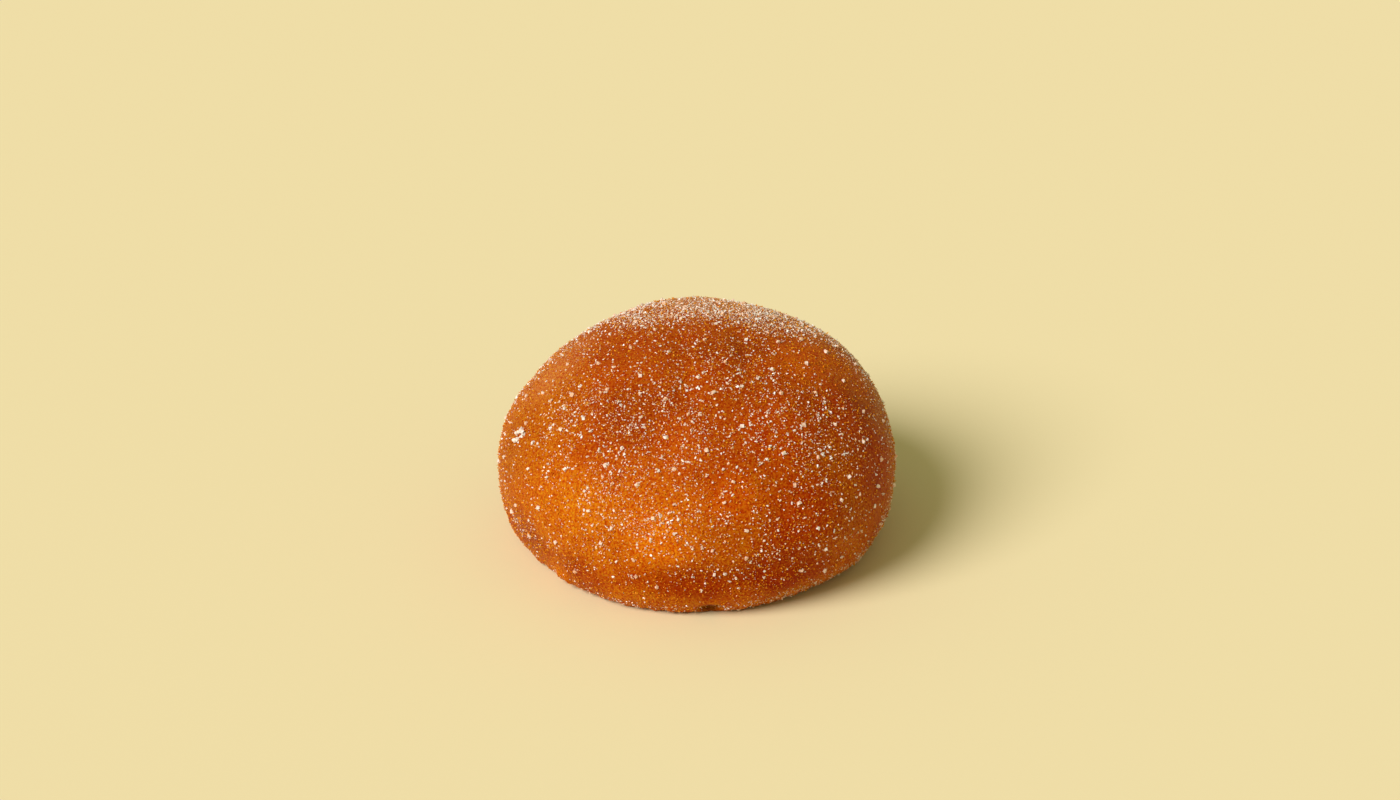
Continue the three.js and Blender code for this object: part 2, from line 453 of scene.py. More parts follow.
        # Pores of 0.3 mm, one for about every millimetre, painted dark as the shade in them.
        pores = add("ShaderNodeTexVoronoi", {"Vector": place, "Scale": 1.0})
        share = add(MAP_RANGE, (pores, 0.26, 0.1, 0.0, 0.4))
        colour = add(MIX, (share, colour, linear(self.pore_shade)), **COLOURS)

        # Relief too fine for the mesh: blisters of 0.9 mm and a grain of 0.3 mm.
        blisters = add("ShaderNodeTexVoronoi", {"Vector": place, "Scale": 1 / 0.9}, feature="SMOOTH_F1")
        grain = add(NOISE, {"Vector": place, "Scale": 1 / 0.3, "Detail": 3.0})
        relief = add(BUMP, {"Height": blisters, "Strength": 0.4, "Distance": 0.1 * MM})
        relief = add(BUMP, {"Height": grain, "Strength": 0.4, "Distance": 0.06 * MM, "Normal": relief})
        look = {
            "Base Color": colour,
            "Roughness": add(MAP_RANGE, (grain, 0.3, 0.7, 0.42, 0.66)),
            "Normal": relief,
            "IOR": 1.45,
            "Specular IOR Level": 0.08,
            "Specular Tint": linear(self.oil),
            "Sheen Weight": 0.3,
            "Sheen Roughness": 0.2,
            "Sheen Tint": linear(self.dust),
            "Subsurface Weight": 0.12,
            "Subsurface Radius": (1.0, 0.35, 0.1),
            "Subsurface Scale": 1.2 * MM,
        }
        add("ShaderNodeOutputMaterial", {"Surface": add("ShaderNodeBsdfPrincipled", look)})
        return made


@dataclass(frozen=True)
class SugarCrystal:
    """Granulated white sugar: broken crystals of sucrose.

    They are clear, so each looks white where light scatters in it, and takes the crust's colour where
    fat has soaked it. Their flat faces flash.
    """

    name: str
    dry: str
    soaked: str
    roughness: Pair = (0.15, 0.45)
    damp_patch: float = 9.0  # size of the patches where more of them are soaked
    gloss: float = 0.5
    gloss_tint: str = "#ffffff"
    glow: Triple = (0.3, 0.34, 0.4)  # how far light of each colour spreads inside, in mm

    def material(self) -> Material:
        """Builds the material.

        Returns:
            The material, whose patterns read Object coordinates.
        """
        made, add, place = new_material(self.name)
        patches = add(NOISE, {"Vector": place, "Scale": 1 / self.damp_patch, "Detail": 3.0})
        drier = add(MAP_RANGE, (patches, 0.35, 0.65, 1.05, 0.75))
        own = add("ShaderNodeAttribute", attribute_name=DRYNESS).outputs["Fac"]
        dry = add(MATH, (own, drier), "MULTIPLY", use_clamp=True)

        # The broken faces are frosted, with a grain of 0.1 mm.
        frosting = add(NOISE, {"Vector": place, "Scale": 1 / 0.1, "Detail": 2.0})
        look = {
            "Base Color": add(MIX, (dry, linear(self.soaked), linear(self.dry)), **COLOURS),
            "Roughness": add(MAP_RANGE, (frosting, 0.3, 0.7, *self.roughness)),
            "Normal": add(BUMP, {"Height": frosting, "Strength": 0.3, "Distance": 0.02 * MM}),
            "IOR": 1.56,
            "Specular IOR Level": self.gloss,
            "Specular Tint": linear(self.gloss_tint),
            "Subsurface Weight": 0.5,
            "Subsurface Radius": self.glow,
            "Subsurface Scale": MM,
        }
        add("ShaderNodeOutputMaterial", {"Surface": add("ShaderNodeBsdfPrincipled", look)})
        return made


# ---- the dough ----


@dataclass(frozen=True)
class Lobe:
    """A shallow wave in the radius of the round."""

    waves: int
    share: float
    azimuth: float


@dataclass(frozen=True)
class Tuck:
    """Where the flank is tucked further under the dough, by a share of the foot's radius."""

    share: float
    azimuth: float
    sharpness: int


@dataclass(frozen=True)
class Stroke:
    """A soft stroke over the crust, between two places given by azimuth and latitude."""

    what: str
    start: Pair
    end: Pair
    reach: float
    rise: float


@dataclass(frozen=True)
class Lumps:
    """Lumps all over the crust: a sum of waves of one length."""

    length: float
    height: float
    count: int


@dataclass(frozen=True)
class DoughForm:
    """The dough's sizes, and the places on its smooth form."""

    width: float = 84.0
    height: float = 48.8
    widest_height: float = 16.0
    foot_radius: float = 35.4
    crown_lean: float = 0.3
    lobes: tuple[Lobe, ...] = (Lobe(2, 0.01, -10), Lobe(3, 0.012, 57), Lobe(5, 0.007, 31))
    tuck: Tuck = Tuck(0.08, -45, 7)
    section_steps: int = 720  # points along each of the section's two arcs

    def section(self, latitude: float) -> Pair:
        """Finds the place on the section at a latitude.

        Args:
            latitude: Degrees, even along the section's length.

        Returns:
            The radius and the height.
        """
        half = self.width / 2
        bulge = half - self.foot_radius
        dome = self.height - self.widest_height
        angles = [math.pi / 2 * i / self.section_steps for i in range(self.section_steps + 1)]
        outline = [(0.0, 0.0)]
        for angle in angles:
            drop = self.widest_height * (1 - math.cos(angle))
            outline.append((self.foot_radius + bulge * math.sin(angle), drop))
        for angle in angles[1:]:
            outline.append((half * math.cos(angle), self.widest_height + dome * math.sin(angle)))
        lengths = [math.dist(a, b) for a, b in zip(outline, outline[1:])]
        left = sum(lengths) * (latitude + 90) / 180
        for a, b, length in zip(outline, outline[1:], lengths):
            if left <= length:
                share = left / length
                return a[0] + (b[0] - a[0]) * share, a[1] + (b[1] - a[1]) * share
            left -= length
        return outline[-1]

    def place(self, azimuth: float, latitude: float) -> Vector:
        """Finds the place on the smooth dough at an azimuth and a latitude.

        Args:
            azimuth: Degrees round +Z from +X.
            latitude: Degrees along the section.

        Returns:
            The place, in millimetres.
        """
        radius, height = self.section(latitude)
        for_lobes = sum(w.share * math.cos(w.waves * math.radians(azimuth - w.azimuth)) for w in self.lobes)
        facing = max(0.0, math.cos(math.radians(azimuth - self.tuck.azimuth)))
        low = max(0.0, 1 - height / self.widest_height)
        radius *= 1 + for_lobes - self.tuck.share * facing**self.tuck.sharpness * low**2
        angle = math.radians(azimuth)
        lean = self.crown_lean * height / self.height
        return Vector((radius * math.cos(angle) + lean, radius * math.sin(angle), height))

    def outward(self, azimuth: float, latitude: float) -> Vector:
        """Finds the way out of the dough at a place on it.

        Args:
            azimuth: Degrees round +Z from +X.
            latitude: Degrees along the section.

        Returns:
            A unit vector.
        """
        step = 0.5
        along = self.place(azimuth, min(latitude + step, 90)) - self.place(azimuth, latitude - step)
        around = self.place(azimuth + step, latitude) - self.place(azimuth - step, latitude)
        return around.cross(along).normalized()

    def summed_strokes(self, grow: ShapeTree, strokes: Sequence[Stroke]) -> Node:
        """Adds up the rise of several strokes.

        Args:
            grow: The tree that gets the nodes.
            strokes: The strokes.

        Returns:
            The node that gives the sum at each place.
        """
        rises = []
        for stroke in strokes:
            ends = {"From": self.place(*stroke.start), "To": self.place(*stroke.end)}
            row = {**ends, "Reach": stroke.reach, "Rise": stroke.rise}
            rises.append(grow.add("GeometryNodeGroup", row, node_tree=stroke_group(), label=stroke.what))
        return grow.summed(rises)


def stroke_group() -> NodeTree:
    """Builds the group that gives a stroke's rise at a place, if it isn't there yet.

    Returns:
        The group, with inputs From, To, Reach and Rise and the output Rise.
    """
    name = "soft_stroke"
    if name in bpy.data.node_groups:
        return bpy.data.node_groups[name]
    origin = (0.0, 0.0, 0.0)
    grow = ShapeTree(name, {"From": origin, "To": origin, "Reach": 1.0, "Rise": 1.0})
    add, given = grow.add, grow.given
    line = add(VECTOR_MATH, (given["To"], given["From"]), "SUBTRACT")
    off = add(VECTOR_MATH, (add(HERE), given["From"]), "SUBTRACT")
    along = add(VECTOR_MATH, (off, line), "DOT_PRODUCT")
    whole = add(VECTOR_MATH, (line, line), "DOT_PRODUCT")
    share = add(MATH, (along, whole), "DIVIDE", use_clamp=True)
    step = add(VECTOR_MATH, (line, share), "SCALE")
    away = add(VECTOR_MATH, (off, step), "DISTANCE")
    reached = add(MATH, (away, given["Reach"]), "DIVIDE")
    square = add(MATH, (reached, reached), "MULTIPLY")
    minus = add(MATH, (square, -1.0), "MULTIPLY")
    fall = add(MATH, [minus], "EXPONENT")
    return grow.end("Rise", "Float", add(MATH, (fall, given["Rise"]), "MULTIPLY"))


@dataclass(frozen=True)
class Crust:
    """The fried crust: the dough's whole skin, with its hollows, puckers, folds and lumps."""

    form: DoughForm
    finish: FriedCrust = FriedCrust()
    detail: int = 121  # points along each side of the cube that is puffed up to the dough
    strokes: tuple[Stroke, ...] = (
        Stroke("hollow in the crown's front slope", (-127, 37), (-103, 34), 5.5, -0.9),
        Stroke("pucker on the crown", (-124, 77), (-97, 52), 2.8, -0.7),
        Stroke("short pucker beside it", (-24, 76), (-58, 61), 2.6, -0.6),
        Stroke("dip below the short pucker", (-68, 51), (-60, 48), 4, -0.5),
        Stroke("crease along the front of the foot", (-100, -11), (-74, -11), 3.6, -0.7),
        Stroke("crease along the right of the foot", (-64, -9), (-40, -12), 3.4, -0.7),
        Stroke("tuck of the left flank", (-162, -17), (-140, -18), 4.5, -0.6),
        Stroke("swell over the front left", (-150, 4), (-112, 12), 11, 0.5),
        Stroke("swell over the front", (-90, 17), (-72, 20), 9, 0.4),
        Stroke("shoulder on the right", (-8, 40), (22, 42), 12, 0.4),
        Stroke("edge of that shoulder", (5, 27), (14, 41), 7, 0.4),
        Stroke("shoulder at the upper left", (152, 56), (164, 42), 8, 0.5),
        Stroke("shoulder at the back", (80, 36), (110, 40), 13, 0.4),
        Stroke("hollow at the back left", (140, 30), (162, 22), 7, -0.8),
        Stroke("crease along the back of the foot", (64, -10), (112, -12), 3.8, -0.6),
        Stroke("swell over the back right", (28, 4), (52, 10), 10, 0.4),
    )
    folds: tuple[Stroke, ...] = (
        Stroke("fold gap at the front of the foot", (-89.4, -28.8), (-84.6, -28.8), 1.25, -1.4),
        Stroke("fold gap at the back of the foot", (60, -28.5), (66, -28.5), 1.4, -1.3),
        Stroke("fold lip at the front left", (-140, -26.5), (-136, -26.5), 1.2, 0.5),
        Stroke("fold lip at the back left", (168, -26.5), (174, -26.5), 1.3, 0.5),
    )
    lumps: tuple[Lumps, ...] = (Lumps(27, 0.15, 6), Lumps(11, 0.08, 8))
    lump_seed: int = 20
    relief_fade: float = 3.0  # the height below which the strokes and lumps fade away
    blister_size: float = 3.0
    blister_height: float = 0.06
    rim_crumple_size: float = 1.7
    rim_crumple_height: float = 0.4
    rim_crumpled: Pair = (5.0, 0.8)  # the heights at which the rim's crumple starts and is full
    foot_dimple_height: float = 0.25
    dimpled: Pair = (0.3, 0.02)  # and those at which the foot's dimples do

    def build(self) -> Object:
        """Builds and dresses the crust: a cube that is puffed up to the dough and then gets its relief.

        Returns:
            The crust's object.
        """
        values = {
            "Width": self.form.width,
            "Height": self.form.height,
            "Widest height": self.form.widest_height,
            "Foot radius": self.form.foot_radius,
            "Crown lean": self.form.crown_lean,
            "Detail": self.detail,
            "Relief fade": self.relief_fade,
            "Blister size": self.blister_size,
            "Blister height": self.blister_height,
            "Rim crumple size": self.rim_crumple_size,
            "Rim crumple height": self.rim_crumple_height,
            "Foot dimple height": self.foot_dimple_height,
            "Crust": self.finish.material(),
        }
        grow = ShapeTree("puffed_dough", values)
        add = grow.add
        points = {f"Vertices {axis}": grow.given["Detail"] for axis in "XYZ"}
        cube = add(CUBE, {"Size": (2.0, 2.0, 2.0), **points})
        smooth = add(SET_POSITION, {"Geometry": cube, "Position": self._dough_position(grow)})
        way = add("GeometryNodeInputNormal")
        push = add(VECTOR_MATH, (way, self._relief(grow)), "SCALE")
        risen = add(SET_POSITION, {"Geometry": smooth, "Offset": push})

        # No point goes below the plane of the foot, whose middle is dimpled.
        x, y, z = add(SEPARATE, [add(HERE)]).outputs
        flat = add(MAP_RANGE, (z, *self.dimpled), **SMOOTH)
        dimple = add(MATH, (grow.uneven("Blister size", "Foot dimple height"), flat), "MULTIPLY")
        lifted = add(MATH, (z, dimple), "ADD")
        place = add("ShaderNodeCombineXYZ", (x, y, add(MATH, (lifted, 0.0), "MAXIMUM")))
        kept = add(SET_POSITION, {"Geometry": risen, "Position": place})
        return grow.run("crust", add("GeometryNodeSetShadeSmooth", {"Geometry": kept}), "Crust")

    def _dough_position(self, grow: ShapeTree) -> Node:
        """Moves a point of the cube to its place on the smooth dough, as DoughForm.place does.

        Args:
            grow: The crust's tree.

        Returns:
            The node that gives the place, in millimetres.
        """
        add, given = grow.add, grow.given
        flank_end = -math.pi / 6  # below this slope a point of the ball belongs to the flat of the foot
        widest, foot = given["Widest height"], given["Foot radius"]
        ball = add(VECTOR_MATH, [add(HERE)], "NORMALIZE")
        x, y, z = add(SEPARATE, [ball]).outputs
        slope = add(MATH, [z], "ARCSINE")
        azimuth = add(MATH, (y, x), "ARCTAN2")
        half = add(MATH, (given["Width"], 0.5), "MULTIPLY")

        dome_radius = add(MATH, (half, add(MATH, [slope], "COSINE")), "MULTIPLY")
        dome_rise = add(MATH, (given["Height"], widest), "SUBTRACT")
        dome_height = add(MATH, (dome_rise, z, widest), "MULTIPLY_ADD")

        tucked = add(MAP_RANGE, (slope, 0.0, flank_end, 0.0, math.pi / 2))
        flat = add(MAP_RANGE, (slope, -math.pi / 2, flank_end))
        bulge = add(MATH, (half, foot), "SUBTRACT")
        narrowing = add(MATH, [tucked], "COSINE")
        flank_radius = add(MATH, (bulge, narrowing, foot), "MULTIPLY_ADD")
        lower_radius = add(MATH, (flank_radius, flat), "MULTIPLY")
        dropping = add(MATH, (1.0, add(MATH, [tucked], "SINE")), "SUBTRACT")
        lower_height = add(MATH, (widest, dropping), "MULTIPLY")

        above = add(MATH, (z, 0.0), "GREATER_THAN")
        radius, height = [
            add("GeometryNodeSwitch", (above, lower, upper), input_type="FLOAT")
            for lower, upper in ((lower_radius, dome_radius), (lower_height, dome_height))
        ]
        lobed = 1.0
        for lobe in self.form.lobes:
            turned = add(MATH, (azimuth, math.radians(lobe.azimuth)), "SUBTRACT")
            turned = add(MATH, (turned, float(lobe.waves)), "MULTIPLY")
            wave = add(MATH, [turned], "COSINE")
            lobed = add(MATH, (wave, lobe.share, lobed), "MULTIPLY_ADD")
        tuck = self.form.tuck
        turned = add(MATH, (azimuth, math.radians(tuck.azimuth)), "SUBTRACT")
        facing = add(MATH, (add(MATH, [turned], "COSINE"), 0.0), "MAXIMUM")
        facing = add(MATH, (facing, float(tuck.sharpness)), "POWER")
        low = add(MATH, (1.0, add(MATH, (height, widest), "DIVIDE")), "SUBTRACT")
        low = add(MATH, (add(MATH, (low, 0.0), "MAXIMUM"), 2.0), "POWER")
        tucked_in = add(MATH, (facing, low), "MULTIPLY")
        tucked_in = add(MATH, (tucked_in, tuck.share), "MULTIPLY")
        shrunk = add(MATH, (lobed, tucked_in), "SUBTRACT")

        reach = add(MATH, (radius, shrunk), "MULTIPLY")
        lean = add(MATH, (given["Crown lean"], given["Height"]), "DIVIDE")
        side = add(MATH, (reach, add(MATH, [azimuth], "COSINE")), "MULTIPLY")
        side = add(MATH, (lean, height, side), "MULTIPLY_ADD")
        back = add(MATH, (reach, add(MATH, [azimuth], "SINE")), "MULTIPLY")
        return add("ShaderNodeCombineXYZ", (side, back, height))

    def _relief(self, grow: ShapeTree) -> Node:
        """Adds up all that stands out of the smooth dough or is sunk in it.

        Args:
            grow: The crust's tree.

        Returns:
            The node that gives the rise along the way out, in millimetres.
        """
        add = grow.add
        height = add(SEPARATE, [add(HERE)]).outputs["Z"]
        strokes = self.form.summed_strokes(grow, self.strokes)
        blisters = grow.uneven("Blister size", "Blister height")
        relief = grow.summed((strokes, self._lumpy(grow), blisters))
        grown = add(MAP_RANGE, (height, 0.0, grow.given["Relief fade"]), **SMOOTH)
        relief = add(MATH, (relief, grown), "MULTIPLY")
        low = add(MAP_RANGE, (height, *self.rim_crumpled), **SMOOTH)
        crumple = grow.uneven("Rim crumple size", "Rim crumple height")
        crumple = add(MATH, (crumple, low), "MULTIPLY")
        return grow.summed((relief, crumple, self.form.summed_strokes(grow, self.folds)))

    def _lumpy(self, grow: ShapeTree) -> Node:
        """Adds up the waves of all lumps, each with a heading and a phase of its own.

        Args:
            grow: The crust's tree.

        Returns:
            The node that gives the sum at each place.
        """
        wave = ShapeTree("lump_wave", {"Heading": (0.0, 0.0, 0.0), "Phase": 0.0, "Height": 1.0})
        add, given = wave.add, wave.given
        along = add(VECTOR_MATH, (add(HERE), given["Heading"]), "DOT_PRODUCT")
        turned = add(MATH, (along, given["Phase"]), "ADD")
        rise = add(MATH, (add(MATH, [turned], "SINE"), given["Height"]), "MULTIPLY")
        group = wave.end("Rise", "Float", rise)
        random = random_stream(self.lump_seed)
        rises = []
        for lumps in self.lumps:
            for _ in range(lumps.count):
                row = {
                    "Heading": around_zero(random).normalized() * (FULL_TURN / lumps.length),
                    "Phase": FULL_TURN * random(),
                    "Height": lumps.height / math.sqrt(lumps.count / 2),
                }
                rises.append(grow.add("GeometryNodeGroup", row, node_tree=group))
        return grow.summed(rises)


# ---- the sugar ----


@dataclass(frozen=True)
class CrystalShapes:
    """The shapes to choose crystals from, of about unit size: blocks or splinters, out of true."""

    shapes: int = 8
    detail: int = 2  # points along each side of a block; 1 makes a splinter with four corners
    chip: float = 0.22  # how far a point may be out of true, as a share of the side
    cluster: int = 1  # how many blocks stick together in each shape
    splinter_radius: float = 0.7
    splinter_length: float = 1.2
    cluster_reach: Triple = (1.05, 1.05, 0.35)
    least_stuck: Triple = (0.45, 0.5, 0.5)  # the sides of a block in a cluster, at the least
    most_stuck: Triple = (0.9, 1.0, 1.0)
    cluster_seeds: tuple[int, int, int] = (40, 60, 80)  # for the places, the turns and the sides

    def set_on(self, grow: ShapeTree, points: Node, turn: Node, sides: Node) -> Node:
        """Sets a crystal on each point, with the shapes by turns.

        Args:
            grow: The tree that gets the nodes.
            points: The node that gives the points.
            turn: Each crystal's turn about the three axes.
            sides: Its sides.

        Returns:
            The node that gives the crystals as instances.
        """
        add = grow.add
        joined = add("GeometryNodeJoinGeometry")
        for shape in range(self.shapes):
            one = add("GeometryNodeGeometryToInstance", [self._chipped(grow, shape)])
            grow.tree.links.new(one.outputs[0], joined.inputs[0])
        pick = {"Pick Instance": True, "Instance Index": add("GeometryNodeInputIndex")}
        how = {"Rotation": add(ROTATION, [turn]), "Scale": sides}
        return add(INSTANCES, {"Points": points, "Instance": joined, **pick, **how})

    def _chipped(self, grow: ShapeTree, shape: int) -> Node:
        """Makes one shape.

        Args:
            grow: The tree that gets the nodes.
            shape: The shape's number, which its seeds start from.

        Returns:
            The node that gives its mesh.
        """
        add = grow.add
        if self.detail == 1:
            splinter = {"Vertices": 3, "Radius Bottom": self.splinter_radius, "Depth": self.splinter_length}
            block = add("GeometryNodeMeshCone", splinter)
        else:
            block = add(CUBE, {f"Vertices {axis}": self.detail for axis in "XYZ"})
        if self.cluster > 1:
            least = (Vector(self.cluster_reach) * -1, (0.0,) * 3, self.least_stuck)
            most = (self.cluster_reach, (FULL_TURN,) * 3, self.most_stuck)
            spot, turn, sides = [
                add(RANDOM, {"Min": low, "Max": high, "Seed": seed + shape}, **VECTORS)
                for low, high, seed in zip(least, most, self.cluster_seeds)
            ]
            points = add("GeometryNodePoints", {"Count": self.cluster, "Position": spot})
            how = {"Rotation": add(ROTATION, [turn]), "Scale": sides}
            block = add(REALIZE, [add(INSTANCES, {"Points": points, "Instance": block, **how})])
        limits = {"Min": (-self.chip,) * 3, "Max": (self.chip,) * 3, "Seed": shape}
        return add(SET_POSITION, {"Geometry": block, "Offset": add(RANDOM, limits, **VECTORS)})


@dataclass(frozen=True)
class Clump:
    """A half of the damp lump: crystals that stick together round a place."""

    azimuth: float
    latitude: float
    crystals: int
    spread: float


@dataclass(frozen=True)
class CoarseSugar:
    """The crystals that are large enough to show from a step away, and the one damp lump of them."""

    form: DoughForm
    finish: SugarCrystal
    shapes: CrystalShapes = CrystalShapes(shapes=12, detail=3, chip=0.15)
    sides: Pair = (0.44, 0.76)
    count: int = 165
    drift: float = 16.0
    sunk: float = 0.35
    sugared_from: float = -19.0
    clumps: tuple[Clump, ...] = (Clump(-164.0, 15.6, 10, 2.6), Clump(-162.6, 18.2, 10, 2.4))
    clump_flatness: float = 0.35
    dryness: Pair = (0.35, 1.0)  # of the scattered crystals; those of the lump are dry
    seed: int = 21
    ray_start: float = 3.0  # how far out of the smooth dough the search for the crust starts
    ray_length: float = 9.0
    own: tuple[str, ...] = ("way", "offset", "sides", "turn")  # what each crystal has of its own

    def build(self, crust: Object) -> Object:
        """Builds and dresses the crystals, each set in the crust below its place on the smooth dough.

        Args:
            crust: The crust that they are stuck in.

        Returns:
            The crystals' object.
        """
        values = {"Places": None, "Crust": crust, "Sunk": self.sunk, "Sugar": self.finish.material()}
        grow = ShapeTree("set_crystals", values)
        add = grow.add
        way, offset, sides, turn = [
            add("GeometryNodeInputNamedAttribute", {"Name": label}, **VECTORS) for label in self.own
        ]
        start = add(VECTOR_MATH, (way, (self.ray_start,) * 3, add(HERE)), "MULTIPLY_ADD")
        ray = {
            "Target Geometry": grow.crust_mesh(),
            "Source Position": start,
            "Ray Direction": add(VECTOR_MATH, (way, -1.0), "SCALE"),
            "Ray Length": self.ray_length,
        }
        place = add("GeometryNodeRaycast", ray).outputs["Hit Position"]
        x, y, z = add(SEPARATE, [sides]).outputs
        short = add(MATH, (add(MATH, (x, y), "MINIMUM"), z), "MINIMUM")
        for step in (grow.lift_out(way, short), offset):
            place = add(VECTOR_MATH, (place, step), "ADD")
        points = add(SET_POSITION, {"Geometry": grow.given["Places"], "Position": place})
        crystals = self.shapes.set_on(grow, points, turn, sides)
        return grow.run("sugar_crystals", crystals, "Sugar", self._places())

    def _places(self) -> Mesh:
        """Works out all crystals: those that are scattered evenly, and those of the lump.

        Returns:
            A mesh with a point for each, which carries what it has of its own.
        """
        random = random_stream(self.seed)
        dry = random_stream(self.seed + 1)
        golden = 180 * (3 - math.sqrt(5))
        lowest = math.sin(math.radians(self.sugared_from))
        rows = []
        dryness = []
        for i in range(self.count):
            dryness.append(self.dryness[0] + (self.dryness[1] - self.dryness[0]) * dry())
            level = 1 + (lowest - 1) * (i + random()) / self.count
            azimuth = i * golden + self.drift * (random() - 0.5)
            rows.append(self._crystal(azimuth, math.degrees(math.asin(level)), random, Vector()))
        for clump in self.clumps:
            out = self.form.outward(clump.azimuth, clump.latitude)
            for _ in range(clump.crystals):
                offset = around_zero(random) * clump.spread
                offset += out * (self.clump_flatness - 1) * offset.dot(out)
                rows.append(self._crystal(clump.azimuth, clump.latitude, random, offset))
                dryness.append(1.0)

        made = bpy.data.meshes.new("crystal_places")
        made.from_pydata([row["place"] for row in rows], [], [])
        for label in self.own:
            layer = made.attributes.new(label, "FLOAT_VECTOR", "POINT")
            layer.data.foreach_set("vector", [n for row in rows for n in row[label]])
        made.attributes.new(DRYNESS, "FLOAT", "POINT").data.foreach_set("value", dryness)
        return made

    def _crystal(
        self, azimuth: float, latitude: float, random: Callable[[], float], offset: Vector
    ) -> dict[str, Vector]:
        """Works out one crystal.

        Args:
            azimuth: Degrees round +Z from +X.
            latitude: Degrees along the section.
            random: The stream that its sides and its turn come from.
            offset: Its step away from its place.

        Returns:
            Its place on the smooth dough, and what it has of its own.
        """
        shortest, longest = self.sides
        return {
            "place": self.form.place(azimuth, latitude),
            "way": self.form.outward(azimuth, latitude),
            "offset": offset,
            "sides": Vector([shortest + (longest - shortest) * random() for _ in range(3)]),
            "turn": Vector([math.pi * random() for _ in range(3)]),
        }


